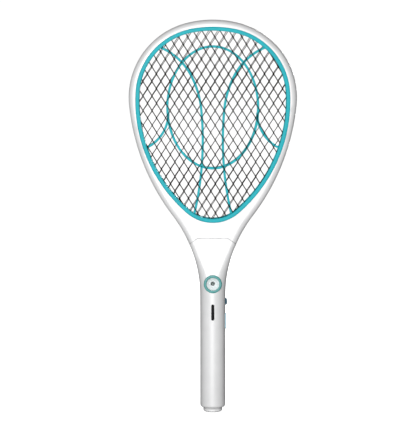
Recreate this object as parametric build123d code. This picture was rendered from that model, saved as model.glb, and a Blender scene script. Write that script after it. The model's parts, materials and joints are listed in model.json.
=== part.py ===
from build123d import *
import os
from math import ceil, cos, radians, sin

# Electric fly swatter, millimetres. Z runs up the handle to the head, -Y is the front face, +X is the
# side with the switches. The origin is the middle of the underside of the end cap.

# ---- driving dimensions -------------------------------------------------------------------------
# An outline is a chain of tangent arcs (radius, sweep in degrees) from the top centre down the right
# side. A negative radius curves the other way. The ring ends in one more arc, worked out below, that
# brings it back to the centre line.
FRAME_ARCS = [(127.7, 14.6), (92.9, 80.9), (263.7, 31.8), (-161.8, 37.3)]
FRAME_TOP_Z = 479.1
RING_ARCS = [(140.0, 10.4), (82.8, 76.4), (179.1, 52.5)]
RING_TOP_Z = 470.4

HEAD_HALF_DEPTH = 10.5
HEAD_EDGE_RADIUS = 6.5
LIP_INNER_DEPTH = 8.4
STACK_POCKET = 2.4            # how far the pocket for the meshes reaches outside the ring outline
STACK_EDGE = 2.1              # how far spacer grids and ring flanges reach outside it
RING_WIDTH = 4.6
RING_GAP = 0.25

RING_BACK_DEPTH = 5.6
RING_FACE_DEPTH = 9.9
RIB_WIDTH = 2.9
OVAL_CENTRE_Z = 373.3
OVAL_HALF_WIDTH = 54.9
OVAL_HALF_HEIGHT = 73.6
BOW_START = (22.9, 242.2)
BOW_HEADING = 103.4           # degrees anticlockwise from +X
BOW_ARCS = [(393.9, 18.8), (112.0, 21.9), (74.1, 42.3)]
SIDE_ARC_CENTRE = (100.2, 366.6)
SIDE_ARC_RADIUS = 46.4

MESH_THICKNESS = 0.6
CENTRE_MESH_THICKNESS = 0.8
MESH_INSET = 1.0              # mesh edge, inside the ring outline
MESH_RIM = 2.4
FALLING_STRAND = 1.1          # strands that run down to the right
RISING_STRAND = 0.75          # strands that run up to the right
CELL_WIDTH = 10.9
CELL_HEIGHT = 17.66
CROSSING = (-2.6, 342.8)      # one knuckle of the centre mesh
OUTER_MESH_STRETCH = 1.027    # rising strands of the outer meshes are drawn out this much
LAYER_PITCH_STEP = 0.0023     # the front mesh is this much finer, and the rear mesh coarser
LAYER_CENTRE = (-3.7, 470.0)  # point where the three meshes line up

HANDLE_RADIUS = 15.25
WALL = 2.0
HANDLE_BOTTOM_Z = 5.9
HANDLE_FOOT_RADIUS = 3.2
GRIP_TOP_Z = 99.0             # above here the handle widens very slightly towards the neck
SLAB_START_Z = 205.0          # above here the neck is as flat as the head
SEAM_Z = 214.8
SEAM_FLAT_HALF = 18.3
SEAM_CORNER = (25.4, 209.7)
SEAM_GAP = 0.5

CAP_RADIUS = 11.5
CAP_CLEARANCE = 0.3
CAP_TOP_Z = 22.0
CARRIER_BOTTOM_Z = 22.5
CARRIER_HEIGHT = 10.0

LAMP_Z = 159.4
BEZEL_RADIUS = 11.0
BEZEL_FACE_Y = -15.3
BEZEL_BACK_Y = -8.5
BEZEL_OPENING_RADIUS = 7.8
LENS_RADIUS = 9.2
WINDOW_Z = 124.8
WINDOW_LENGTH = 19.9
WINDOW_WIDTH = 3.8
WINDOW_LED_OFFSET = 5.5

KNOB_Z = 136.4
KNOB_LENGTH = 8.6
SLIDE_TRAVEL = 2.0
TRIGGER_Z = 112.6
TRIGGER_LENGTH = 19.6
TRIGGER_HALF_WIDTH = 3.2
TRIGGER_RADIUS = 16.45

BOARD_BOTTOM_Z = 99.0
BOARD_TOP_Z = 186.0
BOARD_HALF_WIDTH = 9.4
BOARD_FRONT_Y = 1.0
BOARD_BACK_Y = 2.6
BOARD_SCREWS = [(-7.2, 101.5), (7.2, 101.5), (-7.2, 168.0), (7.2, 168.0)]

CELL_RADIUS = 7.05
CELL_BOTTOM_Z = 42.0
CELL_TOP_Z = 92.0

RIM_SCREW_HEADINGS = [0.0, 52.0, 90.0, 121.0]
RIM_SCREW_INSET = 3.0
RIM_SCREW_SEAT_Y = 6.2
NECK_SCREWS = [(-13.0, 199.0), (13.0, 199.0)]
TONGUE_BOTTOM_Z = 190.0
TONGUE_TOP_Z = 218.2
CHANNEL_STEP_Z = 216.2        # the lead channel is deeper above here
CHANNEL_TOP_Z = 233.5
GRIP_SCREW_ZS = [37.5, 95.6]
LEAD_RADIUS = 0.6


# ---- small helpers ------------------------------------------------------------------------------
def block(x0, x1, y0, y1, z0, z1):
    """Box between two corners."""
    middle = ((x0 + x1) / 2, (y0 + y1) / 2, (z0 + z1) / 2)
    return Pos(*middle) * Box(x1 - x0, y1 - y0, z1 - z0)


def rod_y(x, z, radius, y0, y1):
    """Cylinder along Y."""
    return Pos(x, (y0 + y1) / 2, z) * Rot(90, 0, 0) * Cylinder(radius, y1 - y0)


def rod_z(x, y, radius, z0, z1):
    """Cylinder along Z."""
    return Pos(x, y, (z0 + z1) / 2) * Cylinder(radius, z1 - z0)


def slab(sketch, near, far):
    """Extrude a front-view sketch from one depth in front of the mid-plane to another."""
    return extrude(Plane.XZ.offset(near) * sketch, amount=far - near)


def rear(shape):
    """The same piece behind the mid-plane."""
    return mirror(shape, about=Plane.XZ)


def union(shapes):
    result = shapes[0]
    for shape in shapes[1:]:
        result = result + shape
    return result


def arc_edges(start, heading, arcs, offset=0.0):
    """Tangent arcs from a point. Headings turn clockwise; an offset grows every arc outwards."""
    x, z = start
    x += offset * sin(heading)
    z += offset * cos(heading)
    edges = []
    for radius, sweep in arcs:
        grown = radius + offset
        turn = radians(sweep) * (1 if radius > 0 else -1)
        centre = (x - grown * sin(heading), z - grown * cos(heading))
        points = []
        for part in (0.0, 0.5, 1.0):
            angle = heading + turn * part
            points.append((centre[0] + grown * sin(angle), centre[1] + grown * cos(angle)))
        edges.append(ThreePointArc(*points))
        x, z = points[2]
        heading += turn
    return edges, (x, z)


def with_closing_arc(arcs, top_z):
    """The arcs and a last one that meets the centre line squarely."""
    turned = sum(sweep for _, sweep in arcs)
    _, (end_x, _) = arc_edges((0.0, top_z), 0.0, arcs)
    return arcs + [(end_x / sin(radians(turned)), 180.0 - turned)]


def closed_outline(arcs, top_z, offset=0.0):
    """Face inside a symmetrical outline, closed along the bottom."""
    edges, (end_x, end_z) = arc_edges((0.0, top_z), 0.0, arcs, offset)
    if end_x > 0.05:
        edges.append(Line((end_x, end_z), (0.0, end_z)))
    half = make_face(edges + [Line((0.0, end_z), (0.0, top_z + offset))])
    return (half + mirror(half, about=Plane.YZ)).clean()


def frame_outline(offset=0.0):
    return closed_outline(FRAME_ARCS, FRAME_TOP_Z, offset)


def ring_outline(offset=0.0):
    return closed_outline(with_closing_arc(RING_ARCS, RING_TOP_Z), RING_TOP_Z, offset)


def frame_point(heading, inset):
    """Point inside the frame's edge, where the edge has this heading in degrees."""
    x, z, start = 0.0, FRAME_TOP_Z, 0.0
    for radius, sweep in FRAME_ARCS:
        centre = (x - radius * sin(radians(start)), z - radius * cos(radians(start)))
        if heading <= start + sweep:
            reach = radius - inset
            return centre[0] + reach * sin(radians(heading)), centre[1] + reach * cos(radians(heading))
        start += sweep
        x = centre[0] + radius * sin(radians(start))
        z = centre[1] + radius * cos(radians(start))
    raise ValueError("heading outside the outline")


def neck_half_width(z):
    """Half width of the neck, on the concave arc of the frame outline."""
    radius = -FRAME_ARCS[3][0]
    return NECK_START_X + radius - (radius ** 2 - (z - NECK_START_Z) ** 2) ** 0.5


# ---- outer body ---------------------------------------------------------------------------------
_, (NECK_START_X, NECK_START_Z) = arc_edges((0.0, FRAME_TOP_Z), 0.0, FRAME_ARCS)


def neck_section(z, half_width, half_depth, corner):
    """Rounded rectangle of four arcs and four sides. Where it is a circle, the sides are arcs too."""
    is_circle = half_width - corner < 0.01
    trim = radians(8.0 if is_circle else 0.0)
    points = []
    middles = []
    for quarter in range(4):
        sign_x = (1, -1, -1, 1)[quarter]
        sign_y = (1, 1, -1, -1)[quarter]
        centre = (sign_x * (half_width - corner), sign_y * (half_depth - corner))
        start = radians(90.0 * quarter)
        for angle in (start + trim, start + radians(45.0), start + radians(90.0) - trim):
            points.append((centre[0] + corner * cos(angle), centre[1] + corner * sin(angle)))
        angle = start + radians(90.0)
        middles.append((corner * cos(angle), corner * sin(angle)))
    edges = []
    for quarter in range(4):
        first, middle, last = points[3 * quarter:3 * quarter + 3]
        after = points[(3 * quarter + 3) % 12]
        edges.append(ThreePointArc(first, middle, last))
        edges.append(ThreePointArc(last, middles[quarter], after) if is_circle else Line(last, after))
    return Pos(0, 0, z) * make_face(edges)


def neck_sections(offset, top_z):
    """Sections from the round grip to the flat slab of the head."""
    sections = []
    steps = 6
    for step in range(steps + 1):
        z = NECK_START_Z + (top_z - NECK_START_Z) * step / steps
        part = min(1.0, (z - NECK_START_Z) / (SLAB_START_Z - NECK_START_Z))
        blend = 3 * part ** 2 - 2 * part ** 3
        half_width = neck_half_width(z) + offset
        half_depth = NECK_START_X + (HEAD_HALF_DEPTH - NECK_START_X) * blend + offset
        corner = NECK_START_X + (HEAD_EDGE_RADIUS - NECK_START_X) * blend + offset
        sections.append(neck_section(z, half_width, half_depth, corner))
    return sections


def head_slab():
    """Flat head with a rounded edge, drawn down to where the neck begins."""
    depth = HEAD_HALF_DEPTH
    solid = extrude(Plane.XZ.offset(-depth) * frame_outline(), amount=2 * depth)
    rims = [edge for edge in solid.edges()
            if abs(abs(edge.center().Y) - depth) < 0.01 and edge.center().Z > NECK_START_Z + 1]
    return fillet(rims, HEAD_EDGE_RADIUS)


def handle_solid(offset, bottom_z, top_z):
    """Grip and neck as one solid, moved in or out by an offset."""
    grip = rod_z(0, 0, HANDLE_RADIUS + offset, bottom_z, GRIP_TOP_Z)
    control_height = NECK_START_Z - GRIP_TOP_Z
    controls = Cone(HANDLE_RADIUS + offset, NECK_START_X + offset, control_height)
    controls = Pos(0, 0, GRIP_TOP_Z + control_height / 2) * controls
    return grip + controls + loft(neck_sections(offset, top_z))


def seam_region(gap):
    """Everything above the seam between handle and head, raised by a gap."""
    slope = (SEAM_Z - SEAM_CORNER[1]) / (SEAM_CORNER[0] - SEAM_FLAT_HALF)
    far_x = 40.0
    far_z = SEAM_Z - slope * (far_x - SEAM_FLAT_HALF)
    right = [(SEAM_FLAT_HALF, SEAM_Z), (far_x, far_z), (150, far_z), (150, 600)]
    left = [(-x, z) for x, z in reversed(right)]
    corners = [(x, z + gap) for x, z in right + left]
    return extrude(Plane.XZ.offset(-50) * make_face(Polyline(*corners, close=True)), amount=100)


HEAD_SLAB = head_slab()
HANDLE_SOLID = handle_solid(0.0, HANDLE_BOTTOM_Z, SEAM_Z + 2)
HANDLE_CAVITY = handle_solid(-WALL, CARRIER_BOTTOM_Z, SEAM_Z + 4)
FRONT_SPACE = block(-150, 150, -50, 0, -10, 600)
REAR_SPACE = block(-150, 150, 0, 50, -10, 600)


# ---- head frame ---------------------------------------------------------------------------------
def lead_channel():
    """Way for the leads between the neck seam and the mesh pocket, one side of the mid-plane."""
    deep = block(-11, 11, -7, 0, CHANNEL_STEP_Z, CHANNEL_TOP_Z)
    return deep + block(-11, 11, -5.4, 0, TONGUE_BOTTOM_Z, CHANNEL_STEP_Z)


def tongue():
    """Plate of the front half that reaches down into the handle, with its two screw bosses."""
    plate = block(-18, 18, -8.0, -5.4, TONGUE_BOTTOM_Z, TONGUE_TOP_Z)
    bosses = [rod_y(x, z, 3.2, -6.0, 0.0) for x, z in NECK_SCREWS]
    return union([plate] + bosses)


def head_half(screw_radius):
    """Front half of the head frame, with screw holes of the given radius."""
    half = HEAD_SLAB & seam_region(SEAM_GAP) & FRONT_SPACE
    half = half - slab(ring_outline(RING_GAP), 0, 20)
    half = half - slab(ring_outline(STACK_POCKET), 0, LIP_INNER_DEPTH)
    half = half + tongue()
    half = half - lead_channel()
    for x, z in NECK_SCREWS:
        half = half + rod_y(x, z, 3.2, -6.0, 0.0) - rod_y(x, z, screw_radius, -20, 1)
    return half


def rim_screw_points():
    points = []
    for heading in RIM_SCREW_HEADINGS:
        x, z = frame_point(heading, RIM_SCREW_INSET)
        points.append((x, z))
        if x > 1:
            points.append((-x, z))
    return points


def head_frame_front():
    half = head_half(1.1)
    for x, z in rim_screw_points():
        half = half - rod_y(x, z, 0.9, -7.0, 1.0)
    return half


def head_frame_rear():
    half = rear(head_half(1.25))
    for x, z in rim_screw_points():
        half = half - rod_y(x, z, 1.0, -1.0, 20.0) - rod_y(x, z, 2.0, RIM_SCREW_SEAT_Y, 20.0)
    return half


def pan_head_screw(x, z, head_radius, shank_radius, seat_y, tip_y, head_height=1.4):
    """Pan-head screw along Y with a cross recess; the head lies behind its seat."""
    head = rod_y(x, z, head_radius, seat_y, seat_y + head_height)
    head = fillet(head.edges().group_by(Axis.Y)[-1], 0.45 * head_height)
    arm = head_radius * 0.62
    cross = block(x - arm, x + arm, seat_y + 0.5 * head_height, 60, z - 0.22, z + 0.22)
    cross = cross + block(x - 0.22, x + 0.22, seat_y + 0.5 * head_height, 60, z - arm, z + arm)
    return head - cross + rod_y(x, z, shank_radius, tip_y, seat_y)


def rim_screws():
    return [pan_head_screw(x, z, 1.8, 0.9, RIM_SCREW_SEAT_Y, -6.6) for x, z in rim_screw_points()]


def neck_screws():
    return [pan_head_screw(x, z, 2.3, 1.1, 8.6, -7.6) for x, z in NECK_SCREWS]


# ---- clamp rings, meshes and spacer grids -------------------------------------------------------
def bow_rib():
    """Right bow rib as a band between two offset chains of arcs."""
    heading = radians(90.0 - BOW_HEADING) - radians(90)
    outer, outer_end = arc_edges(BOW_START, heading, BOW_ARCS, RIB_WIDTH / 2)
    inner, inner_end = arc_edges(BOW_START, heading, BOW_ARCS, -RIB_WIDTH / 2)
    half = RIB_WIDTH / 2
    outer_start = (BOW_START[0] + half * sin(heading), BOW_START[1] + half * cos(heading))
    inner_start = (BOW_START[0] - half * sin(heading), BOW_START[1] - half * cos(heading))
    return make_face(outer + inner + [Line(outer_start, inner_start), Line(outer_end, inner_end)])


def side_arc_rib():
    """Right side arc, from the side of the oval down to the ring."""
    half = RIB_WIDTH / 2
    band = Circle(SIDE_ARC_RADIUS + half) - Circle(SIDE_ARC_RADIUS - half)
    band = Pos(*SIDE_ARC_CENTRE) * band
    window = Pos(SIDE_ARC_CENTRE[0] - 40, SIDE_ARC_CENTRE[1] - 40) * Rectangle(80, 80)
    return band & window


def rib_sketch():
    half = RIB_WIDTH / 2
    oval = Ellipse(OVAL_HALF_WIDTH + half, OVAL_HALF_HEIGHT + half)
    oval = Pos(0, OVAL_CENTRE_Z) * (oval - Ellipse(OVAL_HALF_WIDTH - half, OVAL_HALF_HEIGHT - half))
    ribs = oval
    for rib in (bow_rib(), side_arc_rib()):
        ribs = ribs + rib + mirror(rib, about=Plane.YZ)
    return ribs & ring_outline(-RING_WIDTH / 2)


def clamp_ring():
    """Front ring with a flange behind the frame's lip; it clamps the edge of the outer mesh."""
    band = slab(ring_outline() - ring_outline(-RING_WIDTH), RING_BACK_DEPTH, RING_FACE_DEPTH)
    front_edges = [edge for edge in band.edges() if abs(edge.center().Y + RING_FACE_DEPTH) < 0.01]
    band = fillet(front_edges, 0.9)
    flange = ring_outline(STACK_EDGE) - ring_outline(-RING_WIDTH / 2)
    return band + slab(flange, RING_BACK_DEPTH, LIP_INNER_DEPTH)


def strand_crossing(rising, falling, stretch, scale):
    """Where two strand lines cross. The lines are numbered from the one through CROSSING."""
    slope = CELL_HEIGHT / CELL_WIDTH
    across = (falling - rising * stretch) * CELL_WIDTH / (1 + stretch)
    x = CROSSING[0] + across
    z = CROSSING[1] + falling * CELL_HEIGHT - slope * across
    return (LAYER_CENTRE[0] + (x - LAYER_CENTRE[0]) * scale,
            LAYER_CENTRE[1] + (z - LAYER_CENTRE[1]) * scale)


def mesh_hole(i, j, stretch, scale):
    """Corners of one diamond hole between rising strands i, i+1 and falling strands j, j+1."""
    slope = CELL_HEIGHT / CELL_WIDTH
    rising_slope = slope * stretch
    rising_trim = RISING_STRAND / 2 * (1 + rising_slope ** 2) ** 0.5 / (CELL_HEIGHT * stretch)
    falling_trim = FALLING_STRAND / 2 * (1 + slope ** 2) ** 0.5 / CELL_HEIGHT
    low_i, high_i = i + rising_trim, i + 1 - rising_trim
    low_j, high_j = j + falling_trim, j + 1 - falling_trim
    corners = [(low_i, low_j), (high_i, low_j), (high_i, high_j), (low_i, high_j)]
    return [strand_crossing(rising, falling, stretch, scale) for rising, falling in corners]


def mesh_sketch(tab_x, stretch, scale):
    """Rimmed sheet of crossing strands with a terminal tab at its foot."""
    outline = ring_outline(-MESH_INSET) + Pos(tab_x, 227.5) * Rectangle(4, 19)
    inside = ring_outline(-MESH_INSET - MESH_RIM)
    inner_face = inside.faces()[0]
    reach = ceil(260 / CELL_HEIGHT)
    whole_holes = []
    edge_holes = []
    for i in range(-reach, reach):
        for j in range(-reach, reach):
            points = mesh_hole(i, j, stretch, scale)
            kept = [inner_face.is_inside(Vector(x, z, 0)) for x, z in points]
            if all(kept):
                whole_holes.append(Wire.make_polygon([Vector(x, z, 0) for x, z in points]))
            elif any(kept):
                hole = make_face(Polyline(*points, close=True)) & inside
                edge_holes += [face.outer_wire() for face in hole.faces() if face.area > 1.0]
    return Face(outline.faces()[0].outer_wire(), whole_holes + edge_holes)


def outer_mesh(tab_x, scale):
    """Front mesh; the rear one is the same kind of sheet, moved behind the mid-plane."""
    sketch = mesh_sketch(tab_x, OUTER_MESH_STRETCH, scale)
    return slab(sketch, RING_BACK_DEPTH - MESH_THICKNESS, RING_BACK_DEPTH)


def centre_mesh():
    half = CENTRE_MESH_THICKNESS / 2
    return slab(mesh_sketch(0, 1.0, 1.0), -half, half)


def spacer_grid():
    """Insulating ring and ribs that keep the outer mesh off the centre mesh."""
    near = CENTRE_MESH_THICKNESS / 2
    far = RING_BACK_DEPTH - MESH_THICKNESS
    band = slab(ring_outline(STACK_EDGE) - ring_outline(-RING_WIDTH + 1.0), near, far)
    return band + slab(rib_sketch(), near, far)


def mesh_terminals():
    front_tab_back = -(RING_BACK_DEPTH - MESH_THICKNESS)
    centre_face = -CENTRE_MESH_THICKNESS / 2
    return [block(-9, -5, front_tab_back, front_tab_back + 1.4, 218, 223),
            block(-2, 2, centre_face - 2.0, centre_face, 218, 223),
            block(5, 9, -front_tab_back - 1.6, -front_tab_back, 218, 223)]


# ---- handle shells ------------------------------------------------------------------------------
def stadium_y(x, z, width, length, y0, y1):
    """Upright bar with round ends, extruded along Y."""
    sketch = Pos(x, z) * Rot(0, 0, 90) * SlotOverall(length, width)
    return extrude(Plane.XZ.offset(-y1) * sketch, amount=y1 - y0)


def side_slot(z, length, half_width, x0, x1):
    """Bar with rounded corners along X, for the openings and buttons of the right side."""
    bar = block(x0, x1, -half_width, half_width, z - length / 2, z + length / 2)
    return fillet(bar.edges().filter_by(Axis.X), min(half_width, length / 2) * 0.7)


def cell_rib(y0, y1):
    """Two ribs that hold the rechargeable cell, with notches for the leads."""
    ribs = []
    for z in (46.0, 86.0):
        rib = rod_z(0, 0, HANDLE_RADIUS - WALL + 0.5, z, z + 1.6)
        rib = rib - rod_z(0, 0, CELL_RADIUS + 0.05, z, z + 1.6)
        rib = rib & block(-20, 20, y0, y1, z, z + 1.6)
        rib = rib - block(7.3, 11, -3, 3, z, z + 1.6) - block(-11, -7.3, -3, 3, z, z + 1.6)
        ribs.append(rib)
    return union(ribs)


def handle_shell(side_space):
    """Shell on one side of the parting plane, with the openings on the right side."""
    shell = (HANDLE_SOLID - seam_region(0.0)) & side_space
    bottom_edge = [edge for edge in shell.edges()
                   if abs(edge.center().Z - HANDLE_BOTTOM_Z) < 0.01 and edge.geom_type == GeomType.CIRCLE]
    shell = fillet(bottom_edge, HANDLE_FOOT_RADIUS)
    shell = shell - HANDLE_CAVITY - rod_z(0, 0, CAP_RADIUS + CAP_CLEARANCE, 0, CARRIER_BOTTOM_Z)
    shell = shell - side_slot(TRIGGER_Z, TRIGGER_LENGTH + 0.6, TRIGGER_HALF_WIDTH + 0.3, 11, 20)
    slot_length = 4.4 + 2 * SLIDE_TRAVEL + 0.6
    return shell - block(11, 20, -1.6, 1.6, KNOB_Z - slot_length / 2, KNOB_Z + slot_length / 2)


def handle_shell_front():
    shell = handle_shell(FRONT_SPACE)
    for z in GRIP_SCREW_ZS:
        shell = shell + rod_y(0, z, 3.0, -14.0, 0.0) - rod_y(0, z, 1.1, -9.0, 1.0)
    shell = shell + cell_rib(-20, 0)
    shell = shell - rod_y(0, LAMP_Z, BEZEL_RADIUS, -20, -5)
    return shell - stadium_y(0, WINDOW_Z, WINDOW_WIDTH, WINDOW_LENGTH, -20, -8)


def handle_shell_rear():
    shell = handle_shell(REAR_SPACE)
    for z in GRIP_SCREW_ZS:
        shell = shell + rod_y(0, z, 3.0, 0.0, 14.0)
        shell = shell - rod_y(0, z, 1.2, -1, 20) - rod_y(0, z, 2.5, 8.0, 20)
    for x, z in BOARD_SCREWS:
        shell = shell + (rod_y(x, z, 2.2, BOARD_BACK_Y, 14.0) & HANDLE_SOLID) - rod_y(x, z, 0.9, 0, 8.0)
    for x, z in NECK_SCREWS:
        shell = shell - rod_y(x, z, 1.25, 0, 20) - rod_y(x, z, 2.5, 8.6, 20)
    return shell + cell_rib(0, 20)


def handle_screws():
    return [pan_head_screw(0, z, 2.3, 1.1, 8.0, -8.6) for z in GRIP_SCREW_ZS]


# ---- end cap and plug ---------------------------------------------------------------------------
def plug_cover():
    """Pull-off cup over the plug blades; its foot is slightly domed."""
    cup = rod_z(0, 0, CAP_RADIUS, 0.6, CAP_TOP_Z)
    dome_radius = 90.0
    foot = Pos(0, 0, dome_radius) * Sphere(dome_radius) & rod_z(0, 0, CAP_RADIUS, 0, 3)
    cup = cup & block(-20, 20, -20, 20, 0.9, 30)
    cup = foot + cup
    return cup - rod_z(0, 0, CAP_RADIUS - 1.6, 2.2, 30)


def plug_carrier():
    top = CARRIER_BOTTOM_Z + CARRIER_HEIGHT
    carrier = rod_z(0, 0, HANDLE_RADIUS - WALL - 0.25, CARRIER_BOTTOM_Z, top)
    for x in (-6.35, 6.35):
        carrier = carrier - block(x - 0.75, x + 0.75, -3.175, 3.175, 0, 60)
    return carrier


def plug_blades():
    return [block(x - 0.75, x + 0.75, -3.175, 3.175, 7.0, 36.0) for x in (-6.35, 6.35)]


# ---- lamp, window and side controls -------------------------------------------------------------
def lamp_bezel():
    tube = rod_y(0, LAMP_Z, BEZEL_RADIUS, BEZEL_FACE_Y, BEZEL_BACK_Y)
    front_edge = [edge for edge in tube.edges() if abs(edge.center().Y - BEZEL_FACE_Y) < 0.01]
    tube = fillet(front_edge, 0.8)
    tube = tube - rod_y(0, LAMP_Z, BEZEL_OPENING_RADIUS, -20, 0)
    return tube - rod_y(0, LAMP_Z, LENS_RADIUS, BEZEL_FACE_Y + 0.9, 0)


def lamp_lens():
    return rod_y(0, LAMP_Z, LENS_RADIUS, BEZEL_FACE_Y + 0.9, BEZEL_FACE_Y + 2.1)


def lamp_reflector():
    front_y = BEZEL_FACE_Y + 2.1
    cup = rod_y(0, LAMP_Z, LENS_RADIUS, front_y, BEZEL_BACK_Y)
    hollow = Pos(0, (front_y + BEZEL_BACK_Y) / 2 - 0.6, LAMP_Z) * Rot(90, 0, 0)
    hollow = hollow * Cone(3.4, 8.5, BEZEL_BACK_Y - front_y - 1.2)
    return cup - hollow - rod_y(0, LAMP_Z, 2.7, -20, 0)


def led(x, z, radius, tip_y, base_y):
    """Domed light-emitting diode facing -Y, with two legs down to the board."""
    body = rod_y(x, z, radius, tip_y + radius, base_y)
    dome = Pos(x, tip_y + radius, z) * Sphere(radius)
    leg_gap = radius * 0.5
    legs = [rod_y(x, z + side * leg_gap, 0.25, base_y, BOARD_FRONT_Y) for side in (-1, 1)]
    return union([body + dome] + legs)


def lamp_led():
    return led(0, LAMP_Z, 2.5, -12.6, -8.0)


def indicator_leds():
    return [led(0, WINDOW_Z + side * WINDOW_LED_OFFSET, 1.5, -12.2, -7.5) for side in (-1, 1)]


def indicator_window():
    bar = stadium_y(0, WINDOW_Z, WINDOW_WIDTH, WINDOW_LENGTH, -20, -12.6)
    return bar & rod_z(0, 0, HANDLE_RADIUS + 0.2, 100, 140)


def switch_knob():
    """Finger knob outside, stem through the slot, guide plate inside."""
    cap = side_slot(KNOB_Z, KNOB_LENGTH, TRIGGER_HALF_WIDTH, 13.0, 17.65)
    outer_edges = [edge for edge in cap.edges() if edge.center().X > 17.6]
    cap = fillet(outer_edges, 1.4) - rod_z(0, 0, HANDLE_RADIUS + 0.45, 100, 150)
    stem = block(12.0, 16.2, -1.3, 1.3, KNOB_Z - 2.2, KNOB_Z + 2.2)
    plate = block(10.6, 12.4, -3.6, 3.6, KNOB_Z - 6.6, KNOB_Z + 6.6)
    return cap + stem + plate - block(10, 12.2, -2.2, -0.2, KNOB_Z - 1.5, KNOB_Z + 1.5)


def slide_switch_lever():
    return block(8.0, 12.2, -2.2, -0.2, KNOB_Z - 1.5, KNOB_Z + 1.5)


def slide_switch_body():
    body = block(3.5, 9.4, -4.5, BOARD_FRONT_Y, 129.0, 143.8)
    reach = 1.5 + SLIDE_TRAVEL + 0.3
    return body - block(7.6, 10, -2.5, 0.1, KNOB_Z - reach, KNOB_Z + reach)


def trigger_button():
    """Long press bar with a flange inside the shell."""
    bar = side_slot(TRIGGER_Z, TRIGGER_LENGTH, TRIGGER_HALF_WIDTH, 11.5, 20)
    bar = bar & rod_z(0, 0, TRIGGER_RADIUS, 90, 135)
    flange = block(10.6, 12.0, -4.4, 4.4, TRIGGER_Z - 11.2, TRIGGER_Z + 11.2)
    return bar + flange


def tact_switch_body():
    body = block(4.0, 9.2, -3.5, BOARD_FRONT_Y, 109.6, 115.6)
    return body - Pos(9, -1.25, TRIGGER_Z) * Rot(0, 90, 0) * Cylinder(1.7, 4)


def tact_switch_plunger():
    return Pos(9.45, -1.25, TRIGGER_Z) * Rot(0, 90, 0) * Cylinder(1.4, 2.3)


# ---- circuit board ------------------------------------------------------------------------------
def circuit_board():
    board = block(-BOARD_HALF_WIDTH, BOARD_HALF_WIDTH, BOARD_FRONT_Y, BOARD_BACK_Y, BOARD_BOTTOM_Z,
                  BOARD_TOP_Z)
    for x, z in BOARD_SCREWS:
        board = board - rod_y(x, z, 1.0, 0, 5)
    return board


def board_screws():
    screws = []
    for x, z in BOARD_SCREWS:
        head = rod_y(x, z, 1.8, -0.2, BOARD_FRONT_Y)
        screws.append(head + rod_y(x, z, 0.9, BOARD_FRONT_Y, 7.5))
    return screws


def transformer_core():
    core = block(-9.0, 2.5, -7.5, BOARD_FRONT_Y, 137.0, 149.0)
    windows = block(-10, 3, -8, 2, 139.4, 146.6) - block(-5.0, -1.5, -8, 2, 139, 147)
    return core - (windows & block(-10, 3, -5.6, -0.9, 130, 150))


def transformer_winding():
    outer = block(-8.6, 2.1, -5.6, -0.9, 139.4, 146.6)
    return outer - block(-5.0, -1.5, -8, 2, 139, 147)


def high_voltage_capacitor():
    body = block(-5.0, 5.0, -5.5, BOARD_FRONT_Y, 162.0, 172.0)
    return fillet(body.edges().filter_by(Axis.Y), 1.2)


def charging_capacitor():
    body = block(-9.0, -3.0, -6.5, BOARD_FRONT_Y, 108.0, 119.5)
    return fillet(body.edges().filter_by(Axis.Y), 1.0)


def rectifier_diodes():
    return [rod_z(x, BOARD_FRONT_Y - 1.2, 1.2, z, z + 5.0) for x in (-0.4, 2.4) for z in (99.8, 106.2)]


def discharge_resistors():
    return [rod_z(x, BOARD_FRONT_Y - 1.2, 1.2, 121.0, 126.5) for x in (-8.0, -5.0)]


def switching_transistor():
    body = rod_y(-6.0, 131.5, 2.3, -6.0, -1.4) - block(-10, -2, -7, 0, 132.8, 136)
    legs = [rod_y(-6.0 + side * 1.27, 131.0, 0.25, -1.4, BOARD_FRONT_Y) for side in (-1, 0, 1)]
    return union([body] + legs)


# ---- cell and leads -----------------------------------------------------------------------------
def rechargeable_cell():
    return rod_z(0, 0, CELL_RADIUS, CELL_BOTTOM_Z, CELL_TOP_Z)


def cell_tabs():
    return [block(-2, 6, -3, 3, CELL_TOP_Z, CELL_TOP_Z + 0.3),
            block(-6, 2, -3, 3, CELL_BOTTOM_Z - 0.3, CELL_BOTTOM_Z)]


def lead(points, bend):
    """Insulated wire along straight runs joined by arcs."""
    path = FilletPolyline(*points, radius=bend)
    start = Vector(*points[0])
    along = (Vector(*points[1]) - start).normalized()
    return sweep(Plane(origin=start, z_dir=along) * Circle(LEAD_RADIUS), path=path)


def cell_leads():
    positive = [(5.0, -1.6, CELL_TOP_Z + 0.3), (5.0, -1.6, 103.5), (5.0, BOARD_FRONT_Y, 103.5)]
    negative = [(-5.0, -1.6, CELL_BOTTOM_Z - 0.3), (-5.0, -1.6, 38.8), (-8.4, -1.6, 38.8),
                (-8.4, -1.6, 105.5), (-8.4, BOARD_FRONT_Y, 105.5)]
    return [lead(positive, 1.2), lead(negative, 1.2)]


def charging_leads():
    route = [(6.35, 0, 36.0), (6.35, 0, 39.0), (8.3, 1.8, 43.0), (8.3, 1.8, BOARD_BOTTOM_Z)]
    return [lead([(side * x, y, z) for x, y, z in route], 3.0) for side in (-1, 1)]


def high_voltage_leads():
    return [lead([(-7, -4.3, 218), (-7, -4.3, 176), (-7, BOARD_FRONT_Y, 176)], 2.5),
            lead([(0, -1.4, 218), (0, -1.4, 176), (0, BOARD_FRONT_Y, 176)], 1.4),
            lead([(7, 4.2, 218), (7, 4.2, 176), (7, BOARD_BACK_Y, 176)], 0.9)]


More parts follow.
